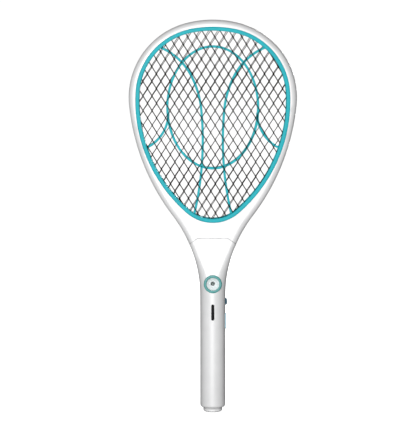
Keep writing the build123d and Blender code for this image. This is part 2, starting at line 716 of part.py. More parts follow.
# ---- write every piece --------------------------------------------------------------------------
PIECES = {
    "head_frame_front": head_frame_front(),
    "head_frame_rear": head_frame_rear(),
    "handle_shell_front": handle_shell_front(),
    "handle_shell_rear": handle_shell_rear(),
    "plug_cover": plug_cover(),
    "clamp_ring_front": clamp_ring(),
    "clamp_ring_rear": rear(clamp_ring()),
    "front_mesh": outer_mesh(-7, 1.0 - LAYER_PITCH_STEP),
    "centre_mesh": centre_mesh(),
    "rear_mesh": rear(outer_mesh(7, 1.0 + LAYER_PITCH_STEP)),
    "spacer_grid_front": spacer_grid(),
    "spacer_grid_rear": rear(spacer_grid()),
    "rim_screws": rim_screws(),
    "neck_screws": neck_screws(),
    "handle_screws": handle_screws(),
    "board_screws": board_screws(),
    "mesh_terminals": mesh_terminals(),
    "high_voltage_leads": high_voltage_leads(),
    "lamp_bezel": lamp_bezel(),
    "lamp_lens": lamp_lens(),
    "lamp_reflector": lamp_reflector(),
    "lamp_led": lamp_led(),
    "indicator_window": indicator_window(),
    "indicator_leds": indicator_leds(),
    "circuit_board": circuit_board(),
    "transformer_core": transformer_core(),
    "transformer_winding": transformer_winding(),
    "high_voltage_capacitor": high_voltage_capacitor(),
    "charging_capacitor": charging_capacitor(),
    "rectifier_diodes": rectifier_diodes(),
    "discharge_resistors": discharge_resistors(),
    "switching_transistor": switching_transistor(),
    "slide_switch_body": slide_switch_body(),
    "slide_switch_lever": slide_switch_lever(),
    "switch_knob": switch_knob(),
    "trigger_button": trigger_button(),
    "tact_switch_body": tact_switch_body(),
    "tact_switch_plunger": tact_switch_plunger(),
    "rechargeable_cell": rechargeable_cell(),
    "cell_tabs": cell_tabs(),
    "cell_leads": cell_leads(),
    "charging_leads": charging_leads(),
    "plug_carrier": plug_carrier(),
    "plug_blades": plug_blades(),
}

os.makedirs("parts", exist_ok=True)
for name, shape in PIECES.items():
    if isinstance(shape, list):
        shape = Compound(children=[solid for item in shape for solid in item.solids()])
    export_step(shape, f"parts/{name}.step")
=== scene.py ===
import json
from math import cos, pi, radians, sin

import bmesh
import bpy
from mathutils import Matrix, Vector

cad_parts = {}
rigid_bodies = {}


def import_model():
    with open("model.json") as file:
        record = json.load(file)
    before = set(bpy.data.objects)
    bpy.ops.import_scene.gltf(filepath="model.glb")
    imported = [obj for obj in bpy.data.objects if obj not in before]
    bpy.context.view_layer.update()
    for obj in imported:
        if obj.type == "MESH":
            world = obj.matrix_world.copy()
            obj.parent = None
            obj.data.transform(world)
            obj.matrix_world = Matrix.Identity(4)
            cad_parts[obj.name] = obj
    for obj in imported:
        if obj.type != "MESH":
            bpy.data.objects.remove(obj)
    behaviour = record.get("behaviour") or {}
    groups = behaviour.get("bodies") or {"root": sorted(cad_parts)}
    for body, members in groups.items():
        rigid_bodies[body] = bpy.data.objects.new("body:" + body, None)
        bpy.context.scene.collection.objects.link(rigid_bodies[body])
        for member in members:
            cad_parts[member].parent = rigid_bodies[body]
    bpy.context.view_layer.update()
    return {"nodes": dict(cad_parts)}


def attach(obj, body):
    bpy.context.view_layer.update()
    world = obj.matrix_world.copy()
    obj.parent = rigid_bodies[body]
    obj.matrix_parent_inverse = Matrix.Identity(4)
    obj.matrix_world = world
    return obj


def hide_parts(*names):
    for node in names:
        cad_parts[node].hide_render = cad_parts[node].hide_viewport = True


# Looks of the electric fly swatter. The CAD model is in metres: Z runs up the handle, -Y is the
# front face, +X is the side with the switches. Lengths below are in millimetres.
MM = 0.001

for left_over in list(bpy.data.objects):
    bpy.data.objects.remove(left_over)

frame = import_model()

# ---- driving dimensions, millimetres ------------------------------------------------------------
RING_ARCS = [(140.0, 10.4), (82.8, 76.4), (179.1, 52.5)]
RING_TOP_Z = 470.4
RING_WIDTH = 4.6
RING_BACK = 5.6
RING_FACE = 9.9
RING_EDGE_RADIUS = 0.9
FLANGE_DEPTH = 8.4
STACK_EDGE = 2.1
GRID_BAND_WIDTH = 3.6
RIB_WIDTH = 2.9
RIB_EDGE_RADIUS = 0.6
OVAL_CENTRE_Z = 373.3
OVAL_HALF_WIDTH = 54.9
OVAL_HALF_HEIGHT = 73.6
BOW_START = (22.9, 242.2)
BOW_HEADING = 103.4           # degrees anticlockwise from +X
BOW_ARCS = [(393.9, 18.8), (112.0, 21.9), (74.1, 42.3)]
SIDE_ARC_CENTRE = (100.2, 366.6)
SIDE_ARC_RADIUS = 46.4

RISING_STRAND = 0.85          # strands that run up to the right
FALLING_STRAND = 1.2          # strands that run down to the right
STRAND_EDGE_RADIUS = 0.16
CELL_WIDTH = 10.9
CELL_HEIGHT = 17.66
LATTICE_REACH = 18            # knuckles each way from the crossing
CROSSING = (-2.6, 342.8)      # one knuckle of the centre mesh
OUTER_STRETCH = 1.027         # rising strands of the outer meshes are drawn out this much
OUTER_MESH_NEAR = 5.0
OUTER_MESH_THICKNESS = 0.6
CENTRE_MESH_THICKNESS = 0.8
MESH_INSET = 1.0
MESH_RIM = 2.4
KNUCKLE_HALF = 1.0
KNUCKLE_INSET = 3.2           # no knuckle lies nearer to the ring outline
LAYER_PITCH_STEP = 0.0023     # the front mesh is this much finer, and the rear mesh coarser
LAYER_CENTRE = (-3.7, 470.0)  # point where the three meshes line up
TAB_Z = (218.0, 237.0)
TAB_HALF_WIDTH = 2.0

HANDLE_RADIUS = 15.25
LAMP_Z = 159.4
BEZEL_RADIUS = 11.0
BEZEL_FACE_Y = -15.3
BEZEL_BACK_Y = -8.5
LENS_RADIUS = 9.2
BEZEL_OPENING = 7.8
LENS_FRONT_Y = -14.4
LENS_BACK_Y = -13.2
LED_RADIUS = 2.5
KNOB_Z = 136.4
KNOB_LENGTH = 8.6
KNOB_FACE_X = 17.6
TRIGGER_Z = 112.6
TRIGGER_LENGTH = 19.6
TRIGGER_HALF_WIDTH = 3.2
TRIGGER_RADIUS = 16.45
CAP_RADIUS = 11.5
CAP_TOP_Z = 22.0
CAP_FLOOR_Z = 2.2
CAP_WALL = 1.6


# ---- mesh helpers -------------------------------------------------------------------------------
def new_object(name, vertices, faces, smooth_angle=40.0):
    """Mesh object from millimetre vertices, with outward normals and smooth shading."""
    mesh = bpy.data.meshes.new(name)
    mesh.from_pydata([Vector(v) * MM for v in vertices], [], faces)
    work = bmesh.new()
    work.from_mesh(mesh)
    bmesh.ops.remove_doubles(work, verts=work.verts, dist=0.5e-6)
    bmesh.ops.recalc_face_normals(work, faces=work.faces)
    work.to_mesh(mesh)
    work.free()
    thing = bpy.data.objects.new(name, mesh)
    bpy.context.scene.collection.objects.link(thing)
    shade(thing, smooth_angle)
    return thing


def shade(thing, smooth_angle):
    mesh = thing.data
    mesh.shade_smooth()
    mesh.set_sharp_from_angle(angle=radians(smooth_angle))


def arc_points(start, heading, arcs, step=1.2):
    """Points and outward normals along tangent arcs, in X and Z. Headings turn clockwise."""
    x, z = start
    rows = []
    for radius, sweep in arcs:
        turn = radians(sweep) * (1 if radius > 0 else -1)
        centre = (x - radius * sin(heading), z - radius * cos(heading))
        count = max(3, round(sweep / step))
        for part in range(count + 1):
            angle = heading + turn * part / count
            point = (centre[0] + radius * sin(angle), centre[1] + radius * cos(angle))
            if not rows or abs(point[0] - rows[-1][0]) + abs(point[1] - rows[-1][1]) > 1e-6:
                rows.append((point[0], point[1], sin(angle), cos(angle)))
        x, z = point
        heading += turn
    return rows


def ring_path():
    """Closed path round the ring outline, clockwise from the top."""
    turned = sum(sweep for _, sweep in RING_ARCS)
    end_x = arc_points((0.0, RING_TOP_Z), 0.0, RING_ARCS)[-1][0]
    closing = (end_x / sin(radians(turned)), 180.0 - turned)
    right = arc_points((0.0, RING_TOP_Z), 0.0, RING_ARCS + [closing])
    left = [(-x, z, -nx, nz) for x, z, nx, nz in reversed(right[1:-1])]
    return right + left


def oval_path(count=150):
    """Closed path round the oval rib."""
    rows = []
    for part in range(count):
        angle = 2 * pi * part / count
        normal = Vector((OVAL_HALF_HEIGHT * sin(angle), OVAL_HALF_WIDTH * cos(angle))).normalized()
        rows.append((OVAL_HALF_WIDTH * sin(angle), OVAL_CENTRE_Z + OVAL_HALF_HEIGHT * cos(angle),
                     normal[0], normal[1]))
    return rows


def swept(path, profile, closed):
    """Profile of (outward, y) pairs carried along a path; open paths get end faces."""
    vertices = []
    for x, z, nx, nz in path:
        for outward, y in profile:
            vertices.append((x + outward * nx, y, z + outward * nz))
    size = len(profile)
    faces = []
    spans = len(path) if closed else len(path) - 1
    for i in range(spans):
        here = i * size
        there = ((i + 1) % len(path)) * size
        for j in range(size):
            k = (j + 1) % size
            faces.append((here + j, here + k, there + k, there + j))
    if not closed:
        faces.append(tuple(range(size)))
        faces.append(tuple(range(len(vertices) - size, len(vertices))))
    return vertices, faces


def joined(parts):
    """Several (vertices, faces) lists as one."""
    vertices = []
    faces = []
    for more_vertices, more_faces in parts:
        base = len(vertices)
        vertices += more_vertices
        faces += [tuple(base + index for index in face) for face in more_faces]
    return vertices, faces


def flipped(shape):
    """Mirror behind the mid-plane."""
    vertices, faces = shape
    return [(x, -y, z) for x, y, z in vertices], faces


def mirrored(path):
    """The same path on the other side of the handle's axis."""
    return [(-x, z, -nx, nz) for x, z, nx, nz in path]


def rounded_profile(out0, out1, y_back, y_face, radius, steps=5):
    """Loop round a bar whose two front corners, on the -Y side, are rounded."""
    points = [(out0, y_back), (out1, y_back)]
    for centre_out, start in ((out1 - radius, 0), (out0 + radius, 90)):
        for step in range(steps + 1):
            angle = radians(start + 90 * step / steps)
            points.append((centre_out + radius * cos(angle), y_face + radius - radius * sin(angle)))
    return points


def lathe(profile, centre, axis, segments=72):
    """Revolve (radius, along) pairs. Axis 'y' points back, axis 'z' points up."""
    rings = []
    vertices = []
    for radius, along in profile:
        ring = []
        count = 1 if radius < 1e-6 else segments
        for step in range(count):
            angle = 2 * pi * step / segments
            across = (radius * cos(angle), radius * sin(angle))
            if axis == "z":
                point = (centre[0] + across[0], centre[1] + across[1], along)
            else:
                point = (centre[0] + across[0], along, centre[1] + across[1])
            ring.append(len(vertices))
            vertices.append(point)
        rings.append(ring)
    faces = []
    for lower, upper in zip(rings, rings[1:]):
        for step in range(segments):
            after = (step + 1) % segments
            if len(lower) == 1 and len(upper) == 1:
                continue
            if len(lower) == 1:
                faces.append((lower[0], upper[step], upper[after]))
            elif len(upper) == 1:
                faces.append((lower[step], lower[after], upper[0]))
            else:
                faces.append((lower[step], lower[after], upper[after], upper[step]))
    return vertices, faces


def finished(thing, body, slot, finish, *nodes):
    """Give a new piece its material and its body, and hide the CAD nodes it stands for."""
    thing.data.materials.clear()
    thing.data.materials.append(finish)
    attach(thing, body)
    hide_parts(*nodes)
    return thing


# ---- materials ----------------------------------------------------------------------------------
def start_material(name):
    finish = bpy.data.materials.new(name)
    finish.use_nodes = True
    nodes = finish.node_tree.nodes
    links = finish.node_tree.links
    shader = nodes["Principled BSDF"]
    place = nodes.new("ShaderNodeTexCoord").outputs["Object"]
    return finish, nodes, links, shader, place


def noise(nodes, links, place, scale, detail=3.0, roughness=0.55):
    texture = nodes.new("ShaderNodeTexNoise")
    texture.inputs["Scale"].default_value = scale
    texture.inputs["Detail"].default_value = detail
    texture.inputs["Roughness"].default_value = roughness
    links.new(place, texture.inputs["Vector"])
    return texture.outputs["Fac"]


def ramp(nodes, links, value, stops):
    """Colour ramp from (position, colour) stops."""
    node = nodes.new("ShaderNodeValToRGB")
    elements = node.color_ramp.elements
    while len(elements) < len(stops):
        elements.new(0.5)
    for element, (position, colour) in zip(elements, stops):
        element.position = position
        element.color = (*colour, 1.0)
    links.new(value, node.inputs["Fac"])
    return node.outputs["Color"]


def remap(nodes, links, value, low, high):
    node = nodes.new("ShaderNodeMapRange")
    node.inputs["From Min"].default_value = 0.3
    node.inputs["From Max"].default_value = 0.7
    node.inputs["To Min"].default_value = low
    node.inputs["To Max"].default_value = high
    links.new(value, node.inputs["Value"])
    return node.outputs["Result"]


def bump(nodes, links, shader, height, strength, distance):
    node = nodes.new("ShaderNodeBump")
    node.inputs["Strength"].default_value = strength
    node.inputs["Distance"].default_value = distance
    links.new(height, node.inputs["Height"])
    links.new(node.outputs["Normal"], shader.inputs["Normal"])


def moulded(name, dark, light, rough_low, rough_high, blotch=60.0, grain=1800.0, grain_depth=2e-5,
            grain_strength=0.35, metallic=0.0, specular=0.5):
    """Moulded, painted or sheet surface: tone and gloss drift slowly, and a fine grain roughens it."""
    finish, nodes, links, shader, place = start_material(name)
    slow = noise(nodes, links, place, blotch)
    fine = noise(nodes, links, place, grain, detail=4.0)
    links.new(ramp(nodes, links, slow, [(0.32, dark), (0.68, light)]), shader.inputs["Base Color"])
    links.new(remap(nodes, links, slow, rough_low, rough_high), shader.inputs["Roughness"])
    bump(nodes, links, shader, fine, grain_strength, grain_depth)
    shader.inputs["Metallic"].default_value = metallic
    shader.inputs["Specular IOR Level"].default_value = specular
    return finish


WHITE = moulded("white_abs", (0.755, 0.757, 0.761), (0.795, 0.797, 0.801), 0.38, 0.46, specular=1.0)
TEAL = moulded("teal_abs", (0.010, 0.40, 0.46), (0.022, 0.46, 0.53), 0.42, 0.54, specular=0.15)
DARK_MESH = moulded("dark_steel_mesh", (0.008, 0.006, 0.005), (0.026, 0.020, 0.016), 0.7, 0.85,
                    blotch=260.0, specular=0.04)
BEZEL = moulded("teal_bezel", (0.05, 0.27, 0.26), (0.07, 0.33, 0.32), 0.30, 0.42, specular=0.35)
REFLECTOR = moulded("white_reflector", (0.80, 0.86, 0.87), (0.86, 0.90, 0.91), 0.25, 0.35)
KNOB_BLUE = moulded("dark_teal_knob", (0.006, 0.06, 0.10), (0.012, 0.09, 0.14), 0.4, 0.55, specular=0.25)
TRIGGER_BLUE = moulded("pale_blue_bar", (0.46, 0.68, 0.78), (0.56, 0.76, 0.85), 0.3, 0.42)
WINDOW_BLACK = moulded("smoked_window", (0.006, 0.006, 0.007), (0.014, 0.014, 0.016), 0.35, 0.5,
                       specular=0.04)
STEEL = moulded("zinc_steel", (0.42, 0.42, 0.41), (0.58, 0.58, 0.57), 0.28, 0.42, blotch=500.0,
                metallic=1.0)
BRASS = moulded("brass", (0.52, 0.38, 0.16), (0.66, 0.50, 0.24), 0.28, 0.42, blotch=500.0, metallic=1.0)
NICKEL = moulded("nickel", (0.50, 0.48, 0.44), (0.64, 0.62, 0.58), 0.2, 0.34, blotch=400.0, metallic=1.0)
LEAD = moulded("lead_insulation", (0.42, 0.03, 0.025), (0.52, 0.05, 0.04), 0.4, 0.5, blotch=300.0)
BOARD = moulded("board_green", (0.012, 0.10, 0.035), (0.03, 0.17, 0.06), 0.3, 0.42, blotch=350.0)
FERRITE = moulded("ferrite", (0.03, 0.03, 0.032), (0.06, 0.06, 0.062), 0.6, 0.75, blotch=900.0)
COPPER = moulded("copper_winding", (0.45, 0.13, 0.05), (0.60, 0.22, 0.09), 0.25, 0.4, blotch=700.0,
                 metallic=0.8)
FILM = moulded("capacitor_film", (0.42, 0.10, 0.03), (0.52, 0.15, 0.05), 0.28, 0.4, blotch=300.0)
BLACK = moulded("component_black", (0.015, 0.015, 0.016), (0.03, 0.03, 0.032), 0.45, 0.6, blotch=400.0)
TAN = moulded("resistor_tan", (0.42, 0.30, 0.17), (0.52, 0.39, 0.24), 0.4, 0.5, blotch=400.0)
SLEEVE = moulded("cell_sleeve", (0.02, 0.14, 0.07), (0.035, 0.19, 0.10), 0.25, 0.36, blotch=120.0)
CARRIER = moulded("carrier_plastic", (0.62, 0.62, 0.60), (0.70, 0.70, 0.68), 0.42, 0.55)


def clear_lens():
    """Clear polycarbonate with faint flow haze."""
    finish, nodes, links, shader, place = start_material("clear_lens")
    haze = noise(nodes, links, place, 300.0)
    links.new(ramp(nodes, links, haze, [(0.3, (0.72, 0.90, 0.90)), (0.7, (0.82, 0.96, 0.96))]),
              shader.inputs["Base Color"])
    links.new(remap(nodes, links, haze, 0.05, 0.10), shader.inputs["Roughness"])
    links.new(remap(nodes, links, haze, 0.03, 0.06), shader.inputs["Alpha"])
    shader.inputs["Specular IOR Level"].default_value = 0.2
    return finish


def led_epoxy():
    """Dark-bodied epoxy dome with a painted highlight: a pale glint painted into the colour at its middle.
    """
    finish, nodes, links, shader, place = start_material("led_epoxy")
    apart = nodes.new("ShaderNodeSeparateXYZ")
    links.new(place, apart.inputs["Vector"])
    flat = nodes.new("ShaderNodeCombineXYZ")
    links.new(apart.outputs["X"], flat.inputs["X"])
    shift = nodes.new("ShaderNodeMath")
    shift.operation = "SUBTRACT"
    shift.inputs[1].default_value = LAMP_Z * MM
    links.new(apart.outputs["Z"], shift.inputs[0])
    links.new(shift.outputs["Value"], flat.inputs["Z"])
    reach = nodes.new("ShaderNodeVectorMath")
    reach.operation = "LENGTH"
    links.new(flat.outputs["Vector"], reach.inputs[0])
    scaled = nodes.new("ShaderNodeMath")
    scaled.operation = "MULTIPLY"
    scaled.inputs[1].default_value = 1.0 / (LED_RADIUS * MM)
    links.new(reach.outputs["Value"], scaled.inputs[0])
    # The pale spot at the middle is a painted highlight. The rest is the dome's dark body colour.
    painted_glint = ramp(nodes, links, scaled.outputs["Value"],
                 [(0.14, (0.45, 0.62, 0.55)), (0.30, (0.026, 0.028, 0.024)), (1.0, (0.012, 0.011, 0.010))])
    links.new(painted_glint, shader.inputs["Base Color"])
    links.new(remap(nodes, links, noise(nodes, links, place, 700.0), 0.12, 0.2), shader.inputs["Roughness"])
    shader.inputs["Specular IOR Level"].default_value = 0.3
    return finish


LENS = clear_lens()
LED_EPOXY = led_epoxy()

SLOT_FINISHES = {
    "body_white": WHITE, "ring_teal": TEAL, "mesh_dark": DARK_MESH, "screw_steel": STEEL,
    "terminal_brass": BRASS, "lead_insulation": LEAD, "bezel_teal": BEZEL, "lens_clear": LENS,
    "reflector_white": REFLECTOR, "led_epoxy": LED_EPOXY, "window_smoked": WINDOW_BLACK,
    "board_green": BOARD, "ferrite": FERRITE, "copper_winding": COPPER, "capacitor_film": FILM,
    "component_black": BLACK, "resistor_tan": TAN, "switch_black": BLACK, "knob_dark_teal": KNOB_BLUE,
    "trigger_blue": TRIGGER_BLUE, "cell_sleeve": SLEEVE, "nickel": NICKEL,
    "carrier_plastic": CARRIER, "blade_brass": BRASS,
}

for node in frame["nodes"].values():
    for place in node.material_slots:
        place.material = SLOT_FINISHES[place.material.name.split(".")[0]]


# ---- clamp rings and spacer grids ---------------------------------------------------------------
RING_PATH = ring_path()


def clamp_ring():
    """Ring with rounded front edges, and the flange that the lip of the head frame holds."""
    band = rounded_profile(-RING_WIDTH, 0.0, -RING_BACK, -RING_FACE, RING_EDGE_RADIUS)
    flange = [(-RING_WIDTH / 2, -RING_BACK), (STACK_EDGE, -RING_BACK), (STACK_EDGE, -FLANGE_DEPTH),
              (-RING_WIDTH / 2, -FLANGE_DEPTH)]
    return joined([swept(RING_PATH, band, True), swept(RING_PATH, flange, True)])


def inside_ring(x, z, inset):
    """Whether a point is inside the ring outline moved inwards."""
    crossings = 0
    points = [(px - inset * nx, pz - inset * nz) for px, pz, nx, nz in RING_PATH]
    for (x0, z0), (x1, z1) in zip(points, points[1:] + points[:1]):
        if (z0 > z) != (z1 > z) and x < x0 + (z - z0) / (z1 - z0) * (x1 - x0):
            crossings += 1
    return crossings % 2 == 1


def inner_run(path):
    """The stretch of an open path inside the middle line of the ring."""
    return [row for row in path if inside_ring(row[0], row[1], RING_WIDTH / 2)]


def bow_path():
    """Right-hand bow rib, from the foot of the ring to its shoulder."""
    heading = radians(90.0 - BOW_HEADING) - radians(90.0)
    return inner_run(arc_points(BOW_START, heading, BOW_ARCS, step=0.4))


def side_arc_path(count=60):
    """Right-hand side rib, a quarter of a circle."""
    rows = []
    for part in range(count + 1):
        angle = radians(180.0 + 90.0 * part / count)
        x = SIDE_ARC_CENTRE[0] + SIDE_ARC_RADIUS * cos(angle)
        z = SIDE_ARC_CENTRE[1] + SIDE_ARC_RADIUS * sin(angle)
        rows.append((x, z, cos(angle), sin(angle)))
    return inner_run(rows)


def spacer_grid():
    """Ring band and rounded ribs between the centre mesh and an outer mesh."""
    near = -CENTRE_MESH_THICKNESS / 2
    far = -OUTER_MESH_NEAR
    half = RIB_WIDTH / 2
    rib = rounded_profile(-half, half, near, far, RIB_EDGE_RADIUS)
    band = [(-GRID_BAND_WIDTH, near), (STACK_EDGE, near), (STACK_EDGE, far), (-GRID_BAND_WIDTH, far)]
    parts = [swept(RING_PATH, band, True), swept(oval_path(), rib, True)]
    for path in (bow_path(), side_arc_path()):
        parts.append(swept(path, rib, False))
        parts.append(swept(mirrored(path), rib, False))
    return joined(parts)


finished(new_object("front_clamp_ring", *clamp_ring()), "housing", "ring_teal", TEAL, "clamp_ring_front")
finished(new_object("rear_clamp_ring", *flipped(clamp_ring())), "housing", "ring_teal", TEAL,
         "clamp_ring_rear")
finished(new_object("front_spacer_grid", *spacer_grid()), "housing", "ring_teal", TEAL,
         "spacer_grid_front")
finished(new_object("rear_spacer_grid", *flipped(spacer_grid())), "housing", "ring_teal", TEAL,
         "spacer_grid_rear")


# ---- expanded metal meshes ----------------------------------------------------------------------
def lattice(rising, falling, layer):
    """Centre of the knuckle where a rising and a falling strand line cross, in X and Z."""
    slope = CELL_HEIGHT / CELL_WIDTH
    stretch = layer["stretch"]
    across = (falling - rising * stretch) * CELL_WIDTH / (1 + stretch)
    x = CROSSING[0] + across
    z = CROSSING[1] + falling * CELL_HEIGHT - slope * across
    scale = layer["scale"]
    middle_x, middle_z = LAYER_CENTRE
    return middle_x + (x - middle_x) * scale, middle_z + (z - middle_z) * scale


def ring_exit(inner, outer):
    """Point on the way from inner to outer that lies under the middle of the mesh rim."""
    low, high = 0.0, 1.0
    for _ in range(12):
        middle = (low + high) / 2
        x = inner[0] + (outer[0] - inner[0]) * middle
        z = inner[1] + (outer[1] - inner[1]) * middle
        if inside_ring(x, z, MESH_INSET + MESH_RIM / 2):
            low = middle
        else:
            high = middle
    return inner[0] + (outer[0] - inner[0]) * low, inner[1] + (outer[1] - inner[1]) * low


def expanded_metal(name, layer):
    """Slit and stretched sheet: slim strands that meet at tall knuckles, held by a flat rim."""
    lean = Vector((CELL_WIDTH, CELL_HEIGHT)).normalized()
    top = (0.0, KNUCKLE_HALF + RISING_STRAND / 2 * lean[0])
    right_high = (RISING_STRAND * lean[1], top[1] - RISING_STRAND * lean[0])
    right_low = (FALLING_STRAND * lean[1], FALLING_STRAND * lean[0] - top[1])
    outline = [top, right_high, right_low] + [(-x, -z) for x, z in (top, right_high, right_low)]
    work = bmesh.new()
    knuckles = {}
    near, thickness = layer["near"], layer["thickness"]

    def vertex(x, z):
        return work.verts.new((x * MM, near * MM, z * MM))

    centres = {}
    reach = range(-LATTICE_REACH, LATTICE_REACH + 1)
    for i in reach:
        for j in reach:
            centre = lattice(i, j, layer)
            centres[i, j] = centre
            if inside_ring(*centre, KNUCKLE_INSET):
                x, z = centre
                knuckles[i, j] = [vertex(x + dx, z + dz) for dx, dz in outline]
                work.faces.new(knuckles[i, j])
    top, right_high, right_low, foot, left_low, left_high = range(6)
    for (i, j), corners in knuckles.items():
        links = (((i, j + 1), (top, right_high), (foot, left_low)),
                 ((i + 1, j), (left_high, top), (right_low, foot)),
                 ((i, j - 1), (foot, left_low), (top, right_high)),
                 ((i - 1, j), (right_low, foot), (left_high, top)))
        for other, here, there in links:
            first, second = corners[here[0]], corners[here[1]]
            if other in knuckles:
                if other > (i, j):
                    far = knuckles[other]
                    work.faces.new((first, second, far[there[0]], far[there[1]]))
            elif other in centres:
                middle = ((first.co.x + second.co.x) / 2 / MM, (first.co.z + second.co.z) / 2 / MM)
                end = ring_exit(middle, centres[other])
                shift = (end[0] - middle[0], end[1] - middle[1])
                far_second = vertex(second.co.x / MM + shift[0], second.co.z / MM + shift[1])
                far_first = vertex(first.co.x / MM + shift[0], first.co.z / MM + shift[1])
                work.faces.new((first, second, far_second, far_first))
    grown = bmesh.ops.extrude_face_region(work, geom=work.faces[:])
    moved = [item for item in grown["geom"] if isinstance(item, bmesh.types.BMVert)]
    bmesh.ops.translate(work, verts=moved, vec=(0.0, thickness * MM, 0.0))
    bmesh.ops.recalc_face_normals(work, faces=work.faces)
    corners = [edge for edge in work.edges
               if len(edge.link_faces) == 2 and edge.calc_face_angle(0.0) > radians(70)
               and abs(edge.verts[0].co.y - edge.verts[1].co.y) < 1e-7]
    bmesh.ops.bevel(work, geom=corners, offset=STRAND_EDGE_RADIUS * MM, segments=2,
                    affect="EDGES", offset_type="OFFSET", clamp_overlap=True, profile=0.5)
    sheet = bpy.data.meshes.new(name)
    work.to_mesh(sheet)
    work.free()
    far = near + thickness
    rim = [(-MESH_INSET - MESH_RIM, near), (-MESH_INSET, near), (-MESH_INSET, far),
           (-MESH_INSET - MESH_RIM, far)]
    tab_left = layer["tab"] - TAB_HALF_WIDTH
    tab_right = layer["tab"] + TAB_HALF_WIDTH
    tab_profile = [(tab_left, near), (tab_right, near), (tab_right, far), (tab_left, far)]
    tab_vertices = [(x, y, z) for z in TAB_Z for x, y in tab_profile]
    tab_faces = [(0, 1, 2, 3), (4, 5, 6, 7), (0, 1, 5, 4), (1, 2, 6, 5), (2, 3, 7, 6), (3, 0, 4, 7)]
    vertices, faces = joined([swept(RING_PATH, rim, True), (tab_vertices, tab_faces),
                              ([tuple(v.co / MM) for v in sheet.vertices],
                               [tuple(face.vertices) for face in sheet.polygons])])
    bpy.data.meshes.remove(sheet)
    return new_object(name, vertices, faces, smooth_angle=50.0)


LAYERS = {
    "front_mesh": {"near": -OUTER_MESH_NEAR - OUTER_MESH_THICKNESS, "thickness": OUTER_MESH_THICKNESS,
                   "scale": 1.0 - LAYER_PITCH_STEP, "stretch": OUTER_STRETCH, "tab": -7.0},
    "centre_mesh": {"near": -CENTRE_MESH_THICKNESS / 2, "thickness": CENTRE_MESH_THICKNESS,
                    "scale": 1.0, "stretch": 1.0, "tab": 0.0},
    "rear_mesh": {"near": OUTER_MESH_NEAR, "thickness": OUTER_MESH_THICKNESS,
                  "scale": 1.0 + LAYER_PITCH_STEP, "stretch": OUTER_STRETCH, "tab": 7.0},
}
for node_name, layer in LAYERS.items():
    finished(expanded_metal(node_name + "_sheet", layer), "housing", "mesh_dark", DARK_MESH, node_name)


# ---- lamp ---------------------------------------------------------------------------------------
LAMP_CENTRE = (0.0, LAMP_Z)


def rounded_steps(centre, radius, start, end, count=5):
    """Points of a corner arc in a lathe profile, angles in degrees from +radius towards -along."""
    rows = []
    for step in range(count + 1):
        angle = radians(start + (end - start) * step / count)
        rows.append((centre[0] + radius * cos(angle), centre[1] - radius * sin(angle)))
    return rows


def lamp_bezel():
    """Crowned ring with a rounded outer edge and a lip that holds the lens."""
    bore = LENS_RADIUS + 0.05
    profile = [(bore, BEZEL_BACK_Y), (BEZEL_RADIUS, BEZEL_BACK_Y)]
    profile += rounded_steps((BEZEL_RADIUS - 1.0, BEZEL_FACE_Y + 1.0), 1.0, 0, 90, 6)
    profile += rounded_steps((BEZEL_OPENING + 0.6, BEZEL_FACE_Y + 0.6), 0.6, 90, 180, 5)
    profile += [(BEZEL_OPENING, LENS_FRONT_Y), (bore, LENS_FRONT_Y), (bore, BEZEL_BACK_Y)]
    return lathe(profile, LAMP_CENTRE, "y", 96)


def lamp_lens():
    """Slightly domed clear window."""
    front = LENS_FRONT_Y
    dome = [(0.0, front - 0.45), (2.5, front - 0.40), (4.5, front - 0.28), (6.3, front - 0.12),
            (BEZEL_OPENING - 0.2, front)]
    rim = [(LENS_RADIUS, front), (LENS_RADIUS, LENS_BACK_Y), (0.0, LENS_BACK_Y)]
    return lathe(dome + rim, LAMP_CENTRE, "y", 96)


def lamp_reflector():
    """White cup that narrows in two soft steps to the diode's hole."""
    front = LENS_BACK_Y
    profile = [(LENS_RADIUS, front), (8.6, front), (8.2, front + 0.4), (6.6, front + 1.6),
               (5.0, front + 2.7), (3.9, front + 3.3), (3.3, front + 3.5), (2.7, front + 3.6),
               (2.7, BEZEL_BACK_Y),
               (LENS_RADIUS, BEZEL_BACK_Y), (LENS_RADIUS, front)]
    return lathe(profile, LAMP_CENTRE, "y", 96)


finished(new_object("lamp_trim_ring", *lamp_bezel()), "housing", "bezel_teal", BEZEL, "lamp_bezel")
finished(new_object("lamp_window", *lamp_lens()), "housing", "lens_clear", LENS, "lamp_lens")
finished(new_object("lamp_cup", *lamp_reflector()), "housing", "reflector_white", REFLECTOR,
         "lamp_reflector")


# ---- side controls ------------------------------------------------------------------------------
def plate(x0, x1, y0, y1, z0, z1):
    """Closed block between two corners, for the hidden stems and flanges of the buttons."""
    corners = [(x, y, z) for x in (x0, x1) for y in (y0, y1) for z in (z0, z1)]
    return corners, [(0, 1, 3, 2), (4, 6, 7, 5), (0, 4, 5, 1), (2, 3, 7, 6), (0, 2, 6, 4), (1, 5, 7, 3)]


def cushion(centre_z, half_length, half_width, top, base, rows=44, columns=20):
    """Button cap with a rounded outline. top and base give the X of its outer and inner face."""
    vertices = []
    for side in (top, base):
        for i in range(rows + 1):
            u = -cos(pi * i / rows)
            for j in range(columns + 1):
                v = -cos(pi * j / columns)
                squeeze = (1 - abs(u) ** 6) ** (1 / 3)
                y = half_width * v * squeeze
                vertices.append((side(u, v, y), y, centre_z + half_length * u))
    faces = []
    layer_size = (rows + 1) * (columns + 1)

    def at(side, i, j):
        return side * layer_size + i * (columns + 1) + j

    for i in range(rows):
        for j in range(columns):
            for side in (0, 1):
                faces.append((at(side, i, j), at(side, i + 1, j), at(side, i + 1, j + 1),
                              at(side, i, j + 1)))
    edge = [(i, 0) for i in range(rows + 1)] + [(rows, j) for j in range(1, columns + 1)]
    edge += [(i, columns) for i in range(rows - 1, -1, -1)] + [(0, j) for j in range(columns - 1, 0, -1)]
    for here, there in zip(edge, edge[1:] + edge[:1]):
        faces.append((at(0, *here), at(0, *there), at(1, *there), at(1, *here)))
    return vertices, faces


